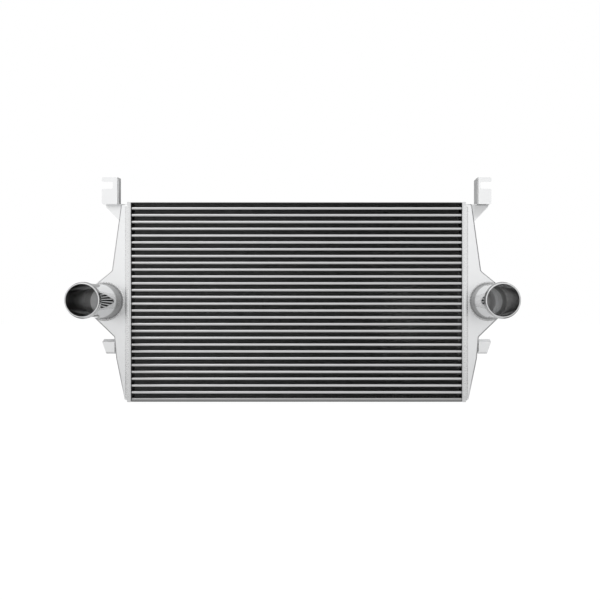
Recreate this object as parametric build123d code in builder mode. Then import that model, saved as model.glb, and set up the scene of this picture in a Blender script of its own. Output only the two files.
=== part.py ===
"""Air-to-air intercooler: a tube-and-fin core between two cast end tanks, with hose pipes and brackets.

Frame: +X along the core, +Z up, and the hose pipes point to -Y. The origin is at the centre of the
underside of the bottom rail, so the cooler stands on Z = 0.
"""

import os

from build123d import *

os.makedirs("parts", exist_ok=True)

# Core, in millimetres
core_length = 743.0
core_depth = 60.0
tube_count = 28
tube_height = 6.0
tube_wall = 1.0
tube_nose = 1.6
tube_stick_out = 2.0
fin_height = 9.35
fin_setback = 1.5
fin_gap_left = 6.5
fin_gap_right = 3.5
turbulator_sheet = 0.5
turbulator_folds = 3
turbulator_side_gap = 2.0
rail_height = 9.0
rail_wall = 2.0
rail_corner = 2.5
top_plate_thickness = 1.5
braze_clearance = 0.05

# Header plates, pressed as shallow pans that open towards the tanks
header_plate = 3.0
header_rim = 9.0
header_rim_wall = 2.5
header_overhang = 3.0
header_bend = 2.5
slot_chamfer = 0.7

# End tanks: heights above the underside, and reaches outwards from the core's end
tank_wall = 4.0
tank_edge_radius = 4.0
tank_corner_radius = 8.0
tank_bottom = 3.0
tank_top_drop = 4.5
toe_reach = 15.5
toe_rise = 3.0
hip_reach = 34.4
hip_height = 98.0
waist_reach = 38.5
waist_height = 146.0
shoulder_reach = 43.8
shoulder_height = 295.0
brow_reach = 23.0

# Hose pipes
pipe_reach = 58.3
pipe_height = 226.4
pipe_radius = 36.0
pipe_wall = 3.0
pipe_length = 124.0
flare_reach = 4.0
flare_edge = 2.0
flare_rise = 9.0
bead_height = 2.0
bead_width = 8.0
bead_ramp = 2.5
bead_setback = 3.0
mouth_round = 1.2

# Mounting brackets, folded from plate
plate = 3.0
bend_radius = 4.5
bracket_tip_reach = 66.5
bracket_corner = 2.5
upper_face_height = 60.4
upper_bend_reach_left = 29.8
upper_bend_reach_right = 36.0
upper_flange_left = 18.0
upper_flange_right = 38.0
upper_setback = 2.0
shelf_depth = 22.0
slot_depth = 25.0
slot_height = 16.0
slot_drop = 10.0
slot_corner = 4.0
leg_nose = 4.0
leg_drop = 46.0
lower_base_height = 108.0
lower_face_height = 27.0
lower_setback = 4.0
lower_flange = 26.0
lower_tip_slant = 9.5
lip_run = 14.0
lip_rise = 6.0
return_depth = 9.0

# Derived places
core_half = core_length / 2
row_pitch = tube_height + fin_height
stack_top = rail_height + tube_count * row_pitch + fin_height
core_top = stack_top + top_plate_thickness
tube_half_length = core_half + header_plate + tube_stick_out
passage_depth = core_depth - 2 * tube_nose - 2 * tube_wall
header_depth = core_depth + 2 * header_overhang
seam_x = core_half + header_rim
tank_front = -header_depth / 2
tank_top = core_top - tank_top_drop
pipe_x = core_half + pipe_reach
pipe_bore = pipe_radius - pipe_wall
flare_radius = pipe_radius + flare_reach
bump_radius = flare_radius + tank_edge_radius
pipe_mouth = tank_front - pipe_length
bracket_tip_x = core_half + bracket_tip_reach
tube_heights = [rail_height + fin_height + tube_height / 2 + row * row_pitch for row in range(tube_count)]
fin_heights = [rail_height + fin_height / 2 + row * row_pitch for row in range(tube_count + 1)]


def across_core(x, z):
    """Plane across the core at one place, with its first axis along +Y and its normal along +X."""
    return Plane(origin=(x, 0, z), x_dir=(0, 1, 0), z_dir=(1, 0, 0))


def tank_profile(inner_x):
    """Outline of the right tank seen from the front, from inner_x outwards, with a round bump for the pipe."""
    toe = (core_half + toe_reach, tank_bottom + toe_rise)
    hip = (core_half + hip_reach, hip_height)
    waist = (core_half + waist_reach, waist_height)
    shoulder = (core_half + shoulder_reach, shoulder_height)
    brow = (core_half + brow_reach, tank_top)
    with BuildSketch(Plane.XZ) as profile:
        with BuildLine():
            CenterArc((pipe_x, pipe_height), bump_radius, 0, 360)
            Line(waist, shoulder)
        make_hull()
        with BuildLine():
            Polyline(
                (inner_x, tank_bottom),
                toe,
                hip,
                waist,
                shoulder,
                brow,
                (inner_x, tank_top),
                close=True,
            )
        make_face()
        for corner in (waist, shoulder):
            fillet(profile.vertices().sort_by_distance(corner)[0], radius=tank_corner_radius)
    return profile.sketch


def end_tank():
    """Right end tank: a cast shell, open towards the header plate, with a round port for the pipe."""
    outline = tank_profile(seam_x)
    cavity = offset(tank_profile(seam_x - tank_wall), amount=-tank_wall)
    with BuildPart() as tank:
        extrude(outline, amount=header_depth / 2, both=True)
        rims = tank.edges().filter_by(GeomType.LINE).filter_by(Axis.Z).group_by(Axis.X)[0]
        faces = tank.faces().filter_by(Axis.Y)
        fillet(faces.edges() - rims, radius=tank_edge_radius)
        extrude(cavity, amount=header_depth / 2 - tank_wall, both=True, mode=Mode.SUBTRACT)
        with BuildSketch(Plane.XZ):
            with Locations((pipe_x, pipe_height)):
                Circle(pipe_bore)
        extrude(amount=header_depth / 2, mode=Mode.SUBTRACT)
    return tank.part


def hose_pipe():
    """Right hose pipe: a turned tube with a flared foot, a hose bead and a rounded mouth."""
    foot = tank_front
    bead_start = pipe_mouth + bead_setback + bead_width
    axis_plane = Plane(origin=(pipe_x, 0, pipe_height), x_dir=(1, 0, 0), z_dir=(0, 0, 1))
    with BuildPart() as pipe:
        with BuildSketch(axis_plane):
            with BuildLine():
                Polyline(
                    (pipe_radius, foot - flare_edge - flare_rise),
                    (pipe_radius, bead_start),
                    (pipe_radius + bead_height, bead_start - bead_ramp),
                    (pipe_radius + bead_height, bead_start - bead_width + bead_ramp),
                    (pipe_radius, bead_start - bead_width),
                    (pipe_radius, pipe_mouth + mouth_round),
                    (pipe_radius - mouth_round, pipe_mouth),
                    (pipe_bore, pipe_mouth),
                    (pipe_bore, foot),
                    (flare_radius, foot),
                    (flare_radius, foot - flare_edge),
                )
                TangentArc(
                    (pipe_radius, foot - flare_edge - flare_rise),
                    (flare_radius, foot - flare_edge),
                    tangent=(0, 1),
                )
            make_face()
        revolve(axis=Axis((pipe_x, 0, pipe_height), (0, 1, 0)))
    return pipe.part


def upper_bracket(bend_reach, flange_depth):
    """Right upper bracket: a slotted face folded back at its inner edge, on a shelf with a welded leg."""
    front = tank_front + upper_setback
    shelf_back = front + shelf_depth
    face_base = tank_top
    face_top = face_base + upper_face_height
    bend_x = core_half + bend_reach
    slot_middle = face_top - slot_drop - slot_height / 2
    leg_x = core_half + brow_reach / 2
    tank_outline = tank_profile(seam_x)
    with BuildPart() as bracket:
        # Face and inner flange
        with BuildSketch(Plane.XY.offset(face_base)) as fold:
            with BuildLine():
                Polyline(
                    (bracket_tip_x, front),
                    (bend_x, front),
                    (bend_x, front + flange_depth),
                    (bend_x + plate, front + flange_depth),
                    (bend_x + plate, front + plate),
                    (bracket_tip_x, front + plate),
                    close=True,
                )
            make_face()
            corners = fold.vertices()
            fillet(corners.sort_by_distance((bend_x, front))[0], radius=bend_radius)
            fillet(corners.sort_by_distance((bend_x + plate, front + plate))[0], radius=bend_radius - plate)
        extrude(amount=upper_face_height)
        # Slot that opens at the tip
        with BuildSketch(Plane.XZ.offset(-front - plate)):
            with Locations((bracket_tip_x, slot_middle)):
                RectangleRounded(2 * slot_depth, slot_height, slot_corner)
        extrude(amount=plate, mode=Mode.SUBTRACT)
        fillet(bracket.edges().filter_by(Axis.Y).group_by(Axis.X)[-1], radius=bracket_corner)
        # Shelf under the face
        with BuildSketch(Plane.XY.offset(face_base)):
            with BuildLine():
                Polyline(
                    (bend_x + plate, front + plate),
                    (bracket_tip_x - bracket_corner, front + plate),
                    (bracket_tip_x - bracket_corner, shelf_back),
                    (bend_x + plate, shelf_back),
                    close=True,
                )
            make_face()
        extrude(amount=plate)
        # Leg behind the shelf, cut to the tank's side
        with BuildSketch(Plane.XZ.offset(-shelf_back)):
            with BuildLine():
                Polyline(
                    (leg_x, face_base + plate),
                    (bracket_tip_x - bracket_corner, face_base + plate),
                    (bracket_tip_x - bracket_corner, face_base - leg_nose),
                    (core_half + brow_reach, face_base - leg_drop),
                    (leg_x, face_base - leg_drop),
                    close=True,
                )
            make_face()
        extrude(amount=plate)
        extrude(tank_outline, amount=header_depth / 2, both=True, mode=Mode.SUBTRACT)
    return bracket.part


def lower_bracket():
    """Right lower bracket: a small face with a raised lip, a return and a flange welded to the tank's side."""
    front = tank_front + lower_setback
    top = lower_base_height + lower_face_height
    flange_x = core_half + waist_reach
    tank_outline = tank_profile(seam_x)
    with BuildPart() as bracket:
        # Lip, face and return, as one folded section along the face
        with BuildSketch(Plane.YZ.offset(flange_x)) as fold:
            with BuildLine():
                Polyline(
                    (front + lip_run, top + lip_rise),
                    (front, top),
                    (front, lower_base_height),
                    (front + return_depth, lower_base_height),
                    (front + return_depth, lower_base_height + plate),
                    (front + plate, lower_base_height + plate),
                    (front + plate, top - plate),
                    (front + lip_run, top + lip_rise - plate),
                    close=True,
                )
            make_face()
            fillet(fold.vertices().sort_by_distance((front, lower_base_height))[0], radius=bend_radius)
        extrude(amount=bracket_tip_x - flange_x)
        # Slanted tip
        with BuildSketch(Plane.XZ):
            with BuildLine():
                Polyline(
                    (bracket_tip_x, top),
                    (bracket_tip_x, lower_base_height),
                    (bracket_tip_x - lower_tip_slant, lower_base_height),
                    close=True,
                )
            make_face()
        extrude(amount=header_depth, both=True, mode=Mode.SUBTRACT)
        # Flange against the tank's side, standing on the return
        with BuildSketch(Plane.XZ.offset(-front - lower_flange)):
            with BuildLine():
                Polyline(
                    (seam_x, lower_base_height + plate),
                    (flange_x + plate, lower_base_height + plate),
                    (flange_x + plate, top),
                    (seam_x, top),
                    close=True,
                )
            make_face()
        extrude(amount=lower_flange - plate)
        extrude(tank_outline, amount=header_depth, both=True, mode=Mode.SUBTRACT)
    return bracket.part


def header(side):
    """Header plate on one side of the core: a pan with a slot that closes round each tube's end."""
    inner_x = side * core_half
    with BuildSketch() as slot:
        Rectangle(core_depth + 2 * braze_clearance, tube_height + 2 * braze_clearance)
        chamfer(slot.vertices(), length=slot_chamfer)
    with BuildPart() as pan:
        with BuildSketch(across_core(inner_x, core_top / 2)):
            Rectangle(header_depth, core_top)
        extrude(amount=side * header_rim)
        inner_face = pan.faces().filter_by(Axis.X).sort_by(Axis.X)[0 if side > 0 else -1]
        fillet(inner_face.edges(), radius=header_bend)
        with BuildSketch(across_core(inner_x + side * header_plate, core_top / 2)):
            Rectangle(header_depth - 2 * header_rim_wall, core_top - 2 * header_rim_wall)
        extrude(amount=side * header_rim, mode=Mode.SUBTRACT)
        with BuildSketch(across_core(inner_x, 0)):
            with Locations([(0, height) for height in tube_heights]):
                add(slot.sketch)
        extrude(amount=side * header_plate, mode=Mode.SUBTRACT)
    return pan.part


def to_left(piece):
    """Mirror image of a right-hand piece, on the left of the core."""
    with BuildPart() as mirrored:
        mirror(piece, about=Plane.YZ)
    return mirrored.part


def save(piece, label):
    """Name a finished piece and write it."""
    piece.label = label
    export_step(piece, f"parts/{label}.step")


# Flat tubes that carry the air from one tank to the other, with bowed noses at the front and back
with BuildSketch() as tube_section:
    nose_start = core_depth / 2 - tube_nose
    with BuildLine():
        Line((-nose_start, tube_height / 2), (nose_start, tube_height / 2))
        ThreePointArc((nose_start, tube_height / 2), (core_depth / 2, 0), (nose_start, -tube_height / 2))
        Line((nose_start, -tube_height / 2), (-nose_start, -tube_height / 2))
        ThreePointArc((-nose_start, -tube_height / 2), (-core_depth / 2, 0), (-nose_start, tube_height / 2))
    make_face()
    Rectangle(passage_depth, tube_height - 2 * tube_wall, mode=Mode.SUBTRACT)
for number, height in enumerate(tube_heights, start=1):
    with BuildPart() as charge_tube:
        with BuildSketch(across_core(-tube_half_length, height)):
            add(tube_section.sketch)
        extrude(amount=2 * tube_half_length)
    save(charge_tube.part, f"charge_tube_{number:02d}")

# Folded strips inside the tubes, which stir the air
with BuildPart() as turbulators:
    wave_top = tube_height / 2 - tube_wall - braze_clearance
    wave_half_width = passage_depth / 2 - turbulator_side_gap
    leg_count = 2 * turbulator_folds
    leg_width = 2 * wave_half_width / leg_count
    crest = wave_top - turbulator_sheet / 2
    ridge = [(-wave_half_width + leg * leg_width, crest * (-1) ** leg) for leg in range(leg_count + 1)]
    upper_side = [(y, z + turbulator_sheet / 2) for y, z in ridge]
    lower_side = [(y, z - turbulator_sheet / 2) for y, z in reversed(ridge)]
    for height in tube_heights:
        with BuildSketch(across_core(-core_half, height)):
            with BuildLine():
                Polyline(*upper_side, *lower_side, close=True)
            make_face()
        extrude(amount=core_length)
save(turbulators.part, "turbulators")

# Fin rows between the tubes, each as the block that its folds fill
with BuildPart() as fin_rows:
    fin_start = -core_half + fin_gap_left
    fin_length = core_length - fin_gap_left - fin_gap_right
    for height in fin_heights:
        with BuildSketch(across_core(fin_start, height)):
            Rectangle(core_depth - 2 * fin_setback, fin_height)
        extrude(amount=fin_length)
save(fin_rows.part, "fin_rows")

# Rail under the core
with BuildPart() as bottom_rail:
    with BuildSketch(across_core(-core_half, rail_height / 2)):
        RectangleRounded(core_depth, rail_height, rail_corner)
        Rectangle(core_depth - 2 * rail_wall, rail_height - 2 * rail_wall, mode=Mode.SUBTRACT)
    extrude(amount=core_length)
save(bottom_rail.part, "bottom_rail")

# Side plate on top of the core
with BuildPart() as top_plate:
    with BuildSketch(across_core(-core_half, stack_top + top_plate_thickness / 2)):
        Rectangle(core_depth, top_plate_thickness)
    extrude(amount=core_length)
save(top_plate.part, "top_plate")

# Headers, tanks, pipes and brackets at both ends
right_tank = end_tank()
right_pipe = hose_pipe()
right_lower_bracket = lower_bracket()
save(header(-1), "header_left")
save(header(1), "header_right")
save(right_tank, "end_tank_right")
save(to_left(right_tank), "end_tank_left")
save(right_pipe, "hose_pipe_right")
save(to_left(right_pipe), "hose_pipe_left")
save(upper_bracket(upper_bend_reach_right, upper_flange_right), "upper_bracket_right")
save(to_left(upper_bracket(upper_bend_reach_left, upper_flange_left)), "upper_bracket_left")
save(right_lower_bracket, "lower_bracket_right")
save(to_left(right_lower_bracket), "lower_bracket_left")
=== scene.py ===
"""Looks of the intercooler: finishes, folded fins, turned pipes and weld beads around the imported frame."""

import math

import bmesh
import bpy
from mathutils import Matrix, Vector, noise
from mathutils.bvhtree import BVHTree


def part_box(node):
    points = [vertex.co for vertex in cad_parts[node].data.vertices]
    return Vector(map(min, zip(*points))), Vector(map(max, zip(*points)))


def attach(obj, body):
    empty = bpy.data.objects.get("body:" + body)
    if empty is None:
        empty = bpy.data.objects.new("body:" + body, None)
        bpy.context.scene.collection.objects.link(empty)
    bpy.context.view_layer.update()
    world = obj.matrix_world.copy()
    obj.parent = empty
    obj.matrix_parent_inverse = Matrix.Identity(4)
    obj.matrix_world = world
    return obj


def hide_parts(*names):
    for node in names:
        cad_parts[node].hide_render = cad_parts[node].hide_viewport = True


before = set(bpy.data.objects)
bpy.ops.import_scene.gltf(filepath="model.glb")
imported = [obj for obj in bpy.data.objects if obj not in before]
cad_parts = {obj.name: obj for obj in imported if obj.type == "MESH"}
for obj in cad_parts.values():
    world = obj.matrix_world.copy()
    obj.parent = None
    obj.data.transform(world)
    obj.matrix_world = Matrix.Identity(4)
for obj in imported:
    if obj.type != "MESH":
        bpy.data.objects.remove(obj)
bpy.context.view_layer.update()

MM = 0.001
BODY = "root"
SIDES = {"left": -1, "right": 1}

# Places read from the frame, in metres
tube_names = sorted(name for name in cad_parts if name.startswith("charge_tube"))
core_low, core_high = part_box("top_plate")
rail_low, rail_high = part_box("bottom_rail")
fins_low, fins_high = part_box("fin_rows")
tank_low, tank_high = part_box("end_tank_right")
pipe_low, pipe_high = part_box("hose_pipe_right")
tube_low, tube_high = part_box(tube_names[0])
core_half = core_high.x
tube_height = tube_high.z - tube_low.z
row_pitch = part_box(tube_names[1])[0].z - tube_low.z
fin_height = row_pitch - tube_height
pipe_x = (pipe_low.x + pipe_high.x) / 2
pipe_z = (pipe_low.z + pipe_high.z) / 2
tank_front = tank_low.y
pipe_mouth = pipe_low.y
flare_radius = (pipe_high.x - pipe_low.x) / 2

# Sizes of the looks
pipe_radius = 36 * MM
pipe_bore = 33 * MM
flare_edge = 2 * MM
flare_rise = 60 * MM
foot_round = 0.6 * MM
bead_height = 2 * MM
bead_width = 8 * MM
bead_setback = 3 * MM
lip_round = 1.3 * MM
bore_round = 0.5 * MM
support = 1 * MM
pipe_steps = 144
fold_pitch = 3.2 * MM
fold_sheet = 0.16 * MM
chevron = 3.4 * MM
merge_distance = 0.002 * MM
spin_merge = 0.001 * MM
smooth_angle = math.radians(32)
flat_angle = math.radians(0.4)

# Weld beads, each as half of its width, its height over the metal and the pitch of its ripples
seam_bead = (4.2 * MM, 0.55 * MM, 4.8 * MM)
foot_bead = (2.8 * MM, 1.4 * MM, 3.6 * MM)
bracket_bead = (2.4 * MM, 1.44 * MM, 3.2 * MM)
seam_inset = 3.5 * MM
leg_setback = 19 * MM
lower_face_height = 27 * MM
weld_section = 12
steps_per_ripple = 5


class Shade:
    """A socket in a node tree. Its operators add Math nodes, and add() makes any other node."""

    def __init__(self, tree, socket=None):
        self.tree = tree
        self.socket = socket

    def add(self, kind, settings=None, inputs=None, output=0):
        node = self.tree.nodes.new("ShaderNode" + kind)
        for key, value in (settings or {}).items():
            setattr(node, key, value)
        for key, value in (inputs or {}).items():
            if isinstance(value, Shade):
                self.tree.links.new(value.socket, node.inputs[key])
            else:
                node.inputs[key].default_value = value
        return Shade(self.tree, node.outputs[output] if node.outputs else None)

    def maths(self, operation, *values):
        return self.add("Math", {"operation": operation}, dict(enumerate(values)))

    def __add__(self, other):
        return self.maths("ADD", self, other)

    def __radd__(self, other):
        return self.maths("ADD", other, self)

    def __sub__(self, other):
        return self.maths("SUBTRACT", self, other)

    def __rsub__(self, other):
        return self.maths("SUBTRACT", other, self)

    def __mul__(self, other):
        return self.maths("MULTIPLY", self, other)

    def __rmul__(self, other):
        return self.maths("MULTIPLY", other, self)

    def __pow__(self, other):
        return self.maths("POWER", self, other)

    def size(self):
        return self.maths("ABSOLUTE", self)

    def larger(self, other):
        return self.maths("MAXIMUM", self, other)

    def step(self, low, high):
        """0 below low, 1 above high and a soft rise between them. It falls if high is under low."""
        sockets = {"Value": self, "From Min": low, "From Max": high, "To Min": 0.0, "To Max": 1.0}
        return self.add("MapRange", {"interpolation_type": "SMOOTHSTEP"}, sockets)

    def blend(self, low_colour, high_colour):
        """The mix of two colours, with this socket as the factor."""
        sockets = {0: self, 6: low_colour, 7: high_colour}
        return self.add("Mix", {"data_type": "RGBA"}, sockets, output=2)


def grey(level, warmth=0.0):
    """A near-neutral colour, a little bluer where warmth is negative."""
    return (level * (1 + warmth), level, level * (1 - warmth), 1)


class Finish:
    """A material on a Principled shader, with the coordinates and patterns that its finish is made of."""

    def __init__(self, name, metallic=1.0):
        self.material = bpy.data.materials.new(name)
        self.material.use_nodes = True
        tree = self.material.node_tree
        self.shader = tree.nodes["Principled BSDF"]
        self.shader.inputs["Metallic"].default_value = metallic
        self.base = Shade(tree)
        self.place = self.base.add("TexCoord", output=3)
        self.x, self.y, self.z = (
            self.base.add("SeparateXYZ", inputs={0: self.place}, output=axis) for axis in range(3)
        )

    def grain(self, scale, stretch=(1, 1, 1), detail=3.0, rough=0.6):
        """Noise at a scale in metres to the minus one, stretched where the finish runs along an axis."""
        placed = self.base.add("Mapping", inputs={"Vector": self.place, "Scale": stretch})
        sockets = {"Vector": placed, "Scale": scale, "Detail": detail, "Roughness": rough}
        return self.base.add("TexNoise", {"normalize": True}, sockets)

    def cells(self, scale):
        """Distance to the nearest of many scattered points, for blasted and cast skins."""
        return self.base.add("TexVoronoi", {"feature": "F1"}, {"Vector": self.place, "Scale": scale})

    def from_axis(self, x, z):
        """Distance from a line along Y."""
        away_x = self.x.size() - x
        away_z = self.z - z
        return (away_x * away_x + away_z * away_z) ** 0.5

    def set(self, socket, value):
        target = self.shader.inputs[socket]
        if isinstance(value, Shade):
            self.base.tree.links.new(value.socket, target)
        else:
            target.default_value = value

    def bump(self, height, distance, strength=1.0):
        sockets = {"Height": height, "Distance": distance, "Strength": strength}
        self.set("Normal", self.base.add("Bump", inputs=sockets))


# Black that stands in for the shade deep in the core: painted shade on the tube flats and on the headers'
# sides that face the core
core_shade_black = grey(0.022)


def cast_tank():
    """Blasted and cleaned casting: pale and satin, with a fine skin, and painted shade inside the right
    tank.
    """
    finish = Finish("blasted_casting")
    cloud = finish.grain(9, detail=4)
    skin = finish.grain(1400, detail=2)
    pits = finish.cells(420)
    outside = cloud.blend(grey(0.87, -0.008), grey(0.96, -0.004))
    radius = finish.from_axis(pipe_x, pipe_z)
    near_port = radius.step(pipe_bore + 1.5 * MM, pipe_bore)
    inside = near_port * finish.y.step(tank_high.y - 1 * MM, tank_high.y - 3 * MM)
    # Painted shade: the inside of the right tank, behind its port, is darker than the left one
    right_inside_shade = finish.x.step(-core_half, core_half)
    finish.set("Base Color", inside.blend(outside, right_inside_shade.blend(grey(0.95), grey(0.55))))
    finish.set("Roughness", cloud * 0.14 + 0.30 - inside * 0.1)
    finish.bump(skin * 0.6 + pits * 0.4, 0.12 * MM, 0.35)
    return finish.material


def header_plate():
    """Satin plate, drawn along its length, with black painted shade on the side that faces the core."""
    finish = Finish("satin_header")
    cloud = finish.grain(14, detail=4)
    drawn = finish.grain(900, stretch=(1, 1, 0.06))
    # Painted shade: the header's side that faces the core is black and not metallic
    core_side_shade = finish.x.size().step(core_half + 0.9 * MM, core_half + 0.2 * MM)
    outside = cloud.blend(grey(0.70, -0.006), grey(0.80, -0.004))
    finish.set("Base Color", core_side_shade.blend(outside, core_shade_black))
    finish.set("Metallic", 1 - core_side_shade)
    finish.set("Roughness", cloud * 0.12 + 0.3 + core_side_shade * 0.15)
    finish.bump(drawn, 0.06 * MM, 0.4)
    return finish.material


def tube_bar():
    """Flat tube: bare aluminium on its nose and black painted shade on the faces that the fins touch."""
    finish = Finish("bare_nose_tube")
    drawn = finish.grain(700, stretch=(0.02, 1, 1), detail=4)
    cloud = finish.grain(22, stretch=(0.4, 1, 1))
    # Painted shade: the tube's flats between the fins are black and only the nose shows bare metal
    painted = (finish.y.size() + drawn * 0.5 * MM).step(tube_high.y - 1.1 * MM, tube_high.y - 1.8 * MM)
    within = finish.x.size().step(core_half + 0.5 * MM, core_half - 0.5 * MM)
    painted = painted * within
    bare = drawn.blend(grey(0.54, -0.005), grey(0.72, -0.005))
    finish.set("Base Color", painted.blend(bare, core_shade_black))
    finish.set("Metallic", 1 - painted)
    finish.set("Roughness", cloud * 0.16 + 0.26 + painted * 0.1)
    finish.bump(drawn, 0.05 * MM, 0.5)
    return finish.material


def dark_fin_shading():
    """Black painted shade on the folded strips, with a little dust-grey variation."""
    finish = Finish("fin_shade_painted", metallic=0.0)
    cloud = finish.grain(60, detail=4)
    # Painted shade: the dark base colour stands in for the shade between the folds
    finish.set("Base Color", cloud.blend(grey(0.09), grey(0.17)))
    finish.set("Roughness", cloud * 0.15 + 0.42)
    finish.bump(finish.grain(1800), 0.05 * MM, 0.3)
    return finish.material


def polished_pipe():
    """Mirror-polished tube with faint rings from the wheel, a duller foot and bore, both darker with painted
    shade.
    """
    finish = Finish("polished_tube")
    radius = finish.from_axis(pipe_x, pipe_z)
    bore = radius.step(pipe_bore + 1.3 * MM, pipe_bore + 0.4 * MM)
    rings = finish.grain(1500, stretch=(0.03, 1, 0.03), detail=4)
    cloud = finish.grain(30, detail=3)
    # The foot zone is rougher, and painted shade darkens it
    dull_and_shaded_foot = finish.y.step(tank_front - 38 * MM, tank_front - 28 * MM)
    outside = dull_and_shaded_foot.blend(cloud.blend(grey(0.70, -0.006), grey(0.77, -0.004)), grey(0.31, -0.004))
    # Painted shade: the bore is darker than the outside, and also rougher
    inside = cloud.blend(grey(0.38), grey(0.48))
    finish.set("Base Color", bore.blend(outside, inside))
    finish.set("Roughness", rings * 0.03 + cloud * 0.03 + 0.02 + dull_and_shaded_foot * 0.2 + bore * 0.12)
    finish.bump(rings, 0.004 * MM, 0.2)
    return finish.material


def bracket_plate():
    """Satin sheet, folded, with the faint grain of the rolled plate."""
    finish = Finish("satin_plate")
    cloud = finish.grain(20, detail=4)
    rolled = finish.grain(900, stretch=(1, 1, 0.08), detail=3)
    finish.set("Base Color", cloud.blend(grey(0.86, -0.006), grey(0.95, -0.004)))
    finish.set("Roughness", cloud * 0.12 + 0.27)
    finish.bump(rolled, 0.05 * MM, 0.4)
    return finish.material


def rail_metal():
    """Mill-finish rail, with painted shade that greys it towards its underside."""
    finish = Finish("mill_rail")
    drawn = finish.grain(800, stretch=(0.02, 1, 1), detail=4)
    # Painted shade: the base colour darkens towards the underside
    upper = finish.z.step(rail_low.z + 0.002, rail_high.z - 0.001)
    low = drawn.blend(grey(0.20), grey(0.27))
    high = drawn.blend(grey(0.42), grey(0.54))
    finish.set("Base Color", upper.blend(low, high))
    finish.set("Roughness", drawn * 0.12 + 0.3)
    finish.bump(drawn, 0.05 * MM, 0.4)
    return finish.material


def sheet_metal():
    """Plain mill sheet for the side plate and the strips inside the tubes."""
    finish = Finish("mill_sheet")
    drawn = finish.grain(800, stretch=(0.02, 1, 1), detail=4)
    finish.set("Base Color", drawn.blend(grey(0.36), grey(0.5)))
    finish.set("Roughness", drawn * 0.15 + 0.3)
    finish.bump(drawn, 0.05 * MM, 0.4)
    return finish.material


def weld_metal(name, level):
    """Clean weld bead with a cloudy satin skin."""
    finish = Finish(name)
    cloud = finish.grain(260, detail=3)
    finish.set("Base Color", cloud.blend(grey(0.88 * level, -0.004), grey(1.12 * level, -0.004)))
    finish.set("Roughness", cloud * 0.16 + 0.2)
    finish.bump(finish.grain(1600), 0.05 * MM, 0.3)
    return finish.material


finishes = {
    "cast_tank": cast_tank(),
    "header": header_plate(),
    "tube": tube_bar(),
    "fin": dark_fin_shading(),
    "polished_pipe": polished_pipe(),
    "bracket": bracket_plate(),
    "side_plate": sheet_metal(),
    "rail": rail_metal(),
    "weld": weld_metal("weld_bead", 0.78),
    # Painted shade: the bead round the pipe's foot is darker than the other welds
    "shaded_foot_weld": weld_metal("weld_bead_painted_shade", 0.66),
}


def piece(name, shape, finish, slot, *nodes):
    """Puts a finished bmesh in the scene as a piece that rides with the cooler and stands for the nodes."""
    mesh = bpy.data.meshes.new(name)
    shape.to_mesh(mesh)
    shape.free()
    mesh.shade_smooth()
    mesh.set_sharp_from_angle(angle=smooth_angle)
    obj = bpy.data.objects.new(name, mesh)
    bpy.context.scene.collection.objects.link(obj)
    mesh.materials.append(finishes[finish])
    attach(obj, BODY)
    if nodes:
        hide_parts(*nodes)
    return obj


def keep_faces_flat(obj):
    """Normals weighted by face size, so that flats stay flat beside their rounded edges."""
    weighted = obj.modifiers.new("flat_faces", "WEIGHTED_NORMAL")
    weighted.mode = "FACE_AREA"
    weighted.weight = 100
    weighted.keep_sharp = True


def finished_copy(node, finish, slot):
    """A merged copy of a node's mesh with whole flat faces and smooth bends, in the place of the node."""
    shape = bmesh.new()
    shape.from_mesh(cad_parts[node].data)
    bmesh.ops.remove_doubles(shape, verts=shape.verts, dist=merge_distance)
    bmesh.ops.dissolve_limit(shape, angle_limit=flat_angle, verts=shape.verts, edges=shape.edges)
    bmesh.ops.recalc_face_normals(shape, faces=shape.faces)
    obj = piece(f"finished_{node}", shape, finish, slot, node)
    keep_faces_flat(obj)
    return obj


def folded_strips():
    """The fin rows: one thin strip folded up and down along the core, bent to a chevron over its depth."""
    strip = bmesh.new()
    start = Vector((fins_low.x, 0, fins_low.z + fold_sheet / 2))
    depths = (
        (fins_low.y, 0.0),
        (0.0, chevron),
        (fins_high.y, 0.0),
    )
    rows = [strip.verts.new(start + Vector((bend, depth, 0))) for depth, bend in depths]
    edges = [strip.edges.new(pair) for pair in zip(rows, rows[1:])]
    leg_count = int((fins_high.x - fins_low.x - chevron) / (fold_pitch / 2))
    rise = fin_height - fold_sheet
    for leg in range(leg_count):
        made = bmesh.ops.extrude_edge_only(strip, edges=edges)["geom"]
        moved = [part for part in made if isinstance(part, bmesh.types.BMVert)]
        edges = [part for part in made if isinstance(part, bmesh.types.BMEdge)]
        climb = rise if leg % 2 == 0 else -rise
        bmesh.ops.translate(strip, verts=moved, vec=(fold_pitch / 2, 0, climb))
    bmesh.ops.solidify(strip, geom=strip.faces[:], thickness=fold_sheet)
    bmesh.ops.recalc_face_normals(strip, faces=strip.faces)
    obj = piece("folded_fin_strips", strip, "fin", "fin", "fin_rows")
    rows = obj.modifiers.new("rows", "ARRAY")
    rows.count = len(tube_names) + 1
    rows.use_relative_offset = False
    rows.use_constant_offset = True
    rows.constant_offset_displace = (0, 0, row_pitch)
    return obj


def arc(centre, radius, first, last, steps):
    """Points on an arc in the plane of a turned section, with angles in degrees."""
    angles = [math.radians(first + (last - first) * step / steps) for step in range(steps + 1)]
    return [(centre[0] + radius * math.cos(a), centre[1] + radius * math.sin(a)) for a in angles]


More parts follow.
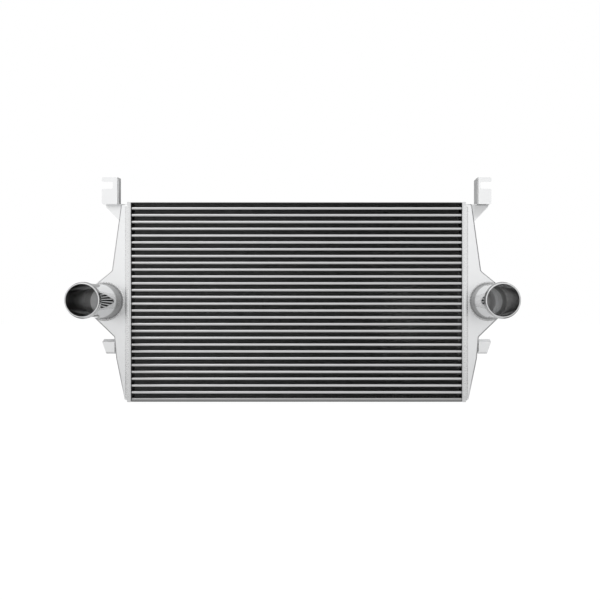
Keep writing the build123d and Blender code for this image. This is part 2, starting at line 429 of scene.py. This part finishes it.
def pipe_section():
    """Section of the hose pipe as radius and place along Y, all the way round its wall."""
    foot = tank_front
    flare = (flare_radius - pipe_radius, flare_rise)
    flare_arc = (flare[0] ** 2 + flare[1] ** 2) / (2 * flare[0])
    flare_turn = math.degrees(math.asin(flare[1] / flare_arc))
    flare_centre = (pipe_radius + flare_arc, foot - flare_edge - flare_rise)
    bead_start = pipe_mouth + bead_setback
    crest_steps = 12
    crest = []
    for step in range(crest_steps + 1):
        share = step / crest_steps
        rise = bead_height * (0.5 - 0.5 * math.cos(2 * math.pi * share)) ** 0.8
        crest.append((pipe_radius + rise, bead_start + bead_width * share))
    lip = (pipe_radius - lip_round, pipe_mouth + lip_round)
    points = [(pipe_bore, foot), (flare_radius - foot_round, foot), (flare_radius, foot - foot_round)]
    points += arc(flare_centre, flare_arc, 180 - flare_turn, 180, 12)
    points.append((pipe_radius, foot - flare_edge - flare_rise - support))
    points.append((pipe_radius, bead_start + bead_width + support))
    points += reversed(crest)
    points += arc(lip, lip_round, 0, -90, 5)
    points += arc((pipe_bore + bore_round, pipe_mouth + bore_round), bore_round, -90, -180, 3)
    return points


def turned_pipe(side):
    """A hose pipe, turned from its section."""
    x = SIDES[side] * pipe_x
    pipe = bmesh.new()
    corners = [pipe.verts.new((x + radius, y, pipe_z)) for radius, y in pipe_section()]
    edges = [pipe.edges.new(pair) for pair in zip(corners, corners[1:] + corners[:1])]
    bmesh.ops.spin(
        pipe,
        geom=corners + edges,
        cent=(x, 0, pipe_z),
        axis=(0, 1, 0),
        angle=2 * math.pi,
        steps=pipe_steps,
        use_merge=True,
    )
    bmesh.ops.remove_doubles(pipe, verts=pipe.verts, dist=spin_merge)
    bmesh.ops.recalc_face_normals(pipe, faces=pipe.faces)
    obj = piece(f"turned_pipe_{side}", pipe, "polished_pipe", "polished_pipe", f"hose_pipe_{side}")
    keep_faces_flat(obj)
    return obj


def rippled(travel, pitch):
    """Share of a weld bead's full height along its run, from 0.82 in the valleys to 1 on the crests."""
    wander = 0.35 * noise.noise(Vector((travel / (6 * pitch), 0.3, 0.7)))
    return 0.82 + 0.18 * abs(math.sin(math.pi * (travel / pitch + wander)))


def straight_weld(shape, start, end, up, bead):
    """A bead along a straight seam. Its lower half is sunk in the metal, and its ends taper away."""
    half_width, height, pitch = bead
    start, end, up = Vector(start), Vector(end), Vector(up)
    run = end - start
    along = run.normalized()
    up = (up - along * up.dot(along)).normalized()
    across = along.cross(up)
    steps = round(run.length / pitch * steps_per_ripple)
    end_taper = 1.2 * half_width
    turn = Matrix((across, up, along)).transposed().to_4x4()
    turn.translation = start
    made = bmesh.ops.create_circle(shape, segments=weld_section, radius=1, matrix=turn)["verts"]
    ring = [edge for edge in shape.edges if all(v in made for v in edge.verts)]
    known = set(shape.verts)
    bmesh.ops.spin(
        shape,
        geom=made + ring,
        cent=start,
        axis=along,
        dvec=run / steps,
        angle=0,
        steps=steps,
    )
    swept = made + [v for v in shape.verts if v not in known]
    for vertex in swept:
        travel = (vertex.co - start).dot(along)
        offset = vertex.co - start - along * travel
        side = offset.dot(across)
        lift = offset.dot(up)
        near_end = min(1, travel / end_taper, (run.length - travel) / end_taper)
        taper = math.sqrt(max(0.0, near_end)) * 0.98 + 0.02
        crescent = travel - 0.35 * pitch * side * side
        swell = rippled(crescent, pitch)
        widened = side * half_width * taper * (0.75 + 0.25 * swell)
        raised = lift * height * taper * swell
        vertex.co = start + along * travel + across * widened + up * raised
    bmesh.ops.holes_fill(shape, edges=[e for e in shape.edges if e.is_boundary], sides=weld_section)


def round_weld(shape, centre, radius, bead):
    """A bead round a pipe's foot, on a face that looks along -Y."""
    half_width, height, pitch = bead
    centre = Vector(centre)
    count = round(2 * math.pi * radius / pitch)
    flattened = Matrix.Diagonal((half_width, height, 1, 1))
    section = Matrix.Translation(centre + Vector((radius, 0, 0))) @ flattened
    bmesh.ops.create_circle(shape, segments=weld_section, radius=1, matrix=section)
    bmesh.ops.spin(
        shape,
        geom=shape.verts[:] + shape.edges[:],
        cent=centre,
        axis=(0, 1, 0),
        angle=2 * math.pi,
        steps=count * steps_per_ripple,
        use_merge=True,
    )
    for vertex in shape.verts:
        offset = vertex.co - centre
        turn_angle = math.atan2(offset.z, offset.x) / (2 * math.pi)
        away = math.hypot(offset.x, offset.z) - radius
        swell = 0.6 + 0.4 * abs(math.sin(math.pi * count * turn_angle))
        widened = radius + away * (0.75 + 0.25 * swell)
        scale = widened / (radius + away)
        vertex.co = centre + Vector((offset.x * scale, offset.y * swell, offset.z * scale))
    bmesh.ops.remove_doubles(shape, verts=shape.verts, dist=spin_merge)


def seam_welds(side):
    """Beads between the header's rim and the tank, at the front, the back, the top and the bottom."""
    x = SIDES[side] * tank_low.x
    seam = bmesh.new()
    lower, upper = tank_low.z + seam_inset, tank_high.z - seam_inset
    for y in (tank_low.y, tank_high.y):
        straight_weld(seam, (x, y, lower), (x, y, upper), (0, y, 0), seam_bead)
    front, back = tank_low.y + seam_inset, tank_high.y - seam_inset
    for z, up in ((tank_high.z, 1), (tank_low.z, -1)):
        straight_weld(seam, (x, front, z), (x, back, z), (0, 0, up), seam_bead)
    bmesh.ops.recalc_face_normals(seam, faces=seam.faces)
    return piece(f"seam_welds_{side}", seam, "weld", "cast_tank")


def foot_weld(side):
    """Bead on the tank round the edge of the pipe's flared foot, darker than the other welds with painted
    shade.
    """
    foot = bmesh.new()
    centre = (SIDES[side] * pipe_x, tank_front - 0.2 * MM, pipe_z)
    round_weld(foot, centre, flare_radius + foot_bead[0] / 2, foot_bead)
    bmesh.ops.recalc_face_normals(foot, faces=foot.faces)
    return piece(f"foot_weld_{side}", foot, "shaded_foot_weld", "cast_tank")


def bracket_welds(side):
    """Beads in the corners that the upper bracket's leg and the lower bracket's face make with the tank."""
    tank = bmesh.new()
    tank.from_mesh(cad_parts[f"end_tank_{side}"].data)
    tank_skin = BVHTree.FromBMesh(tank)
    tank.free()
    outwards = Vector((SIDES[side], 0, 0))
    corner = outwards + Vector((0, -1, 0))
    inset = bracket_bead[0]
    upper_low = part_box(f"upper_bracket_{side}")[0]
    lower_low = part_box(f"lower_bracket_{side}")[0]
    seams = (
        (upper_low.y + leg_setback, upper_low.z + inset, tank_high.z - 2 * inset),
        (lower_low.y, lower_low.z + inset, lower_low.z + lower_face_height - inset),
    )
    beads = bmesh.new()
    for y, low, high in seams:
        start, end = (tank_skin.ray_cast(Vector((outwards.x, y, z)), -outwards)[0] for z in (low, high))
        straight_weld(beads, start, end, corner, bracket_bead)
    bmesh.ops.recalc_face_normals(beads, faces=beads.faces)
    return piece(f"bracket_welds_{side}", beads, "weld", "bracket")


for tube_name in tube_names:
    finished_copy(tube_name, "tube", "tube")
for side in SIDES:
    finished_copy(f"end_tank_{side}", "cast_tank", "cast_tank")
    finished_copy(f"header_{side}", "header", "header")
    finished_copy(f"upper_bracket_{side}", "bracket", "bracket")
    finished_copy(f"lower_bracket_{side}", "bracket", "bracket")
    turned_pipe(side)
    seam_welds(side)
    foot_weld(side)
    bracket_welds(side)
finished_copy("bottom_rail", "rail", "side_plate")
folded_strips()
for node_name in ("top_plate", "turbulators"):
    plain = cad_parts[node_name].data.materials
    plain.clear()
    plain.append(finishes["side_plate"])


def backdrop_factor(base):
    """1 for the rays that should see the white background: the camera's, and those off metal."""
    sees = [base.add("LightPath", output=name) for name in ("Is Camera Ray", "Is Glossy Ray")]
    return sees[0].larger(sees[1]).larger(base.add("LightPath", output="Is Transmission Ray"))


def cleared(owner):
    """The emptied node tree of a stage material or a world, as a base to add nodes to."""
    owner.use_nodes = True
    owner.node_tree.nodes.clear()
    return Shade(owner.node_tree)


def studio_sheet(name, size):
    """A flat sheet of one face, level and around the origin, for the floor and the cards."""
    sheet = bmesh.new()
    bmesh.ops.create_grid(sheet, x_segments=1, y_segments=1, size=0.5)
    bmesh.ops.scale(sheet, verts=sheet.verts, vec=(*size, 1))
    mesh = bpy.data.meshes.new(name)
    sheet.to_mesh(mesh)
    sheet.free()
    obj = bpy.data.objects.new(name, mesh)
    bpy.context.scene.collection.objects.link(obj)
    return obj


def studio_floor():
    """A plain white floor. It looks like the background and keeps a soft share of the shadow."""
    floor = studio_sheet("studio_floor", (16, 16))
    floor.location.z = -0.6 * MM
    material = bpy.data.materials.new("white_floor")
    base = cleared(material)
    matt = base.add("BsdfDiffuse", inputs={"Color": grey(0.85)})
    glow = base.add("Emission", inputs={"Color": grey(1.0), "Strength": 1.16})
    share = backdrop_factor(base) * 0.8
    mixed = base.add("MixShader", inputs={0: share, 1: matt, 2: glow})
    base.add("OutputMaterial", inputs={"Surface": mixed})
    floor.data.materials.append(material)


def studio_world():
    """White to the camera and in reflections, and a softer level for the light that falls on the part."""
    world = bpy.data.worlds.new("studio")
    bpy.context.scene.world = world
    base = cleared(world)
    soft = base.add("Background", inputs={"Color": grey(1.0), "Strength": 0.6})
    white = base.add("Background", inputs={"Color": grey(1.0), "Strength": 1.0})
    mixed = base.add("MixShader", inputs={0: backdrop_factor(base), 1: soft, 2: white})
    base.add("OutputWorld", inputs={"Surface": mixed})


def studio_card(name, place, turn, size, level):
    """A card beside the part that only reflections show, to draw the edges of the bright metal."""
    obj = studio_sheet(name, size)
    obj.location = place
    obj.rotation_euler = [math.radians(angle) for angle in turn]
    obj.visible_camera = False
    obj.visible_diffuse = False
    obj.visible_shadow = False
    material = bpy.data.materials.new(name)
    base = cleared(material)
    glow = base.add("Emission", inputs={"Color": grey(1.0), "Strength": level})
    base.add("OutputMaterial", inputs={"Surface": glow})
    obj.data.materials.append(material)


def soft_light(name, place, target, size, power):
    """A square area light that looks at a target."""
    data = bpy.data.lights.new(name, "AREA")
    data.shape = "SQUARE"
    data.size = size
    data.energy = power
    light = bpy.data.objects.new(name, data)
    light.location = place
    light.rotation_euler = (Vector(target) - Vector(place)).to_track_quat("-Z", "Y").to_euler()
    bpy.context.scene.collection.objects.link(light)


# Camera square to the core, a little right of its middle, with the shift of the photo's framing
view_distance = 1.35
view_x = 0.0887
view_z = 0.204
frame_middle_x = 0.00765
frame_middle_z = 0.2294
camera_data = bpy.data.cameras.new("camera")
camera_data.sensor_width = 36
camera_data.lens = 36
camera_data.shift_x = (frame_middle_x - view_x) / view_distance
camera_data.shift_y = (frame_middle_z - view_z) / view_distance
camera = bpy.data.objects.new("camera", camera_data)
camera.location = (view_x, core_low.y - view_distance, view_z)
camera.rotation_euler = (math.radians(90), 0, 0)
bpy.context.scene.collection.objects.link(camera)
bpy.context.scene.camera = camera

studio_floor()
studio_world()
cards = {
    "dark_card_left": ((-1.25, 0.05, 0.7), (0, 90, 0), (1.8, 1.2), 0.16),
    "dark_card_right": ((1.35, -0.3, 0.7), (0, -90, 0), (1.8, 1.4), 0.05),
    "grey_card_far": ((0, 2.3, 0.9), (90, 0, 0), (3.6, 0.9), 0.45),
    "grey_card_top": ((0, 0.75, 1.45), (0, 0, 0), (2.4, 1.8), 0.5),
    "dark_card_back": ((0.54, 2.2, 1.0), (90, 0, 0), (1.24, 1.1), 0.1),
    "floor_card_left": ((-0.85, 0.15, -0.0002), (0, 0, 0), (0.7, 1.0), 0.22),
    "floor_card_right": ((0.85, 0.15, -0.0002), (0, 0, 0), (0.7, 1.0), 0.22),
    "grey_card_low": ((0, -1.0, -0.0003), (0, 0, 0), (3.2, 2.8), 0.66),
}
for card_name, (place, turn, size, level) in cards.items():
    studio_card(card_name, place, turn, size, level)
middle = (0, 0, 0.22)
soft_light("key_light", (-1.1, -1.5, 2.3), middle, 1.2, 5)
soft_light("fill_light", (1.9, -1.2, 1.2), middle, 1.0, 0.5)
soft_light("back_light", (0.6, 1.8, 1.6), middle, 1.2, 4)
bpy.context.scene.view_settings.view_transform = "Standard"
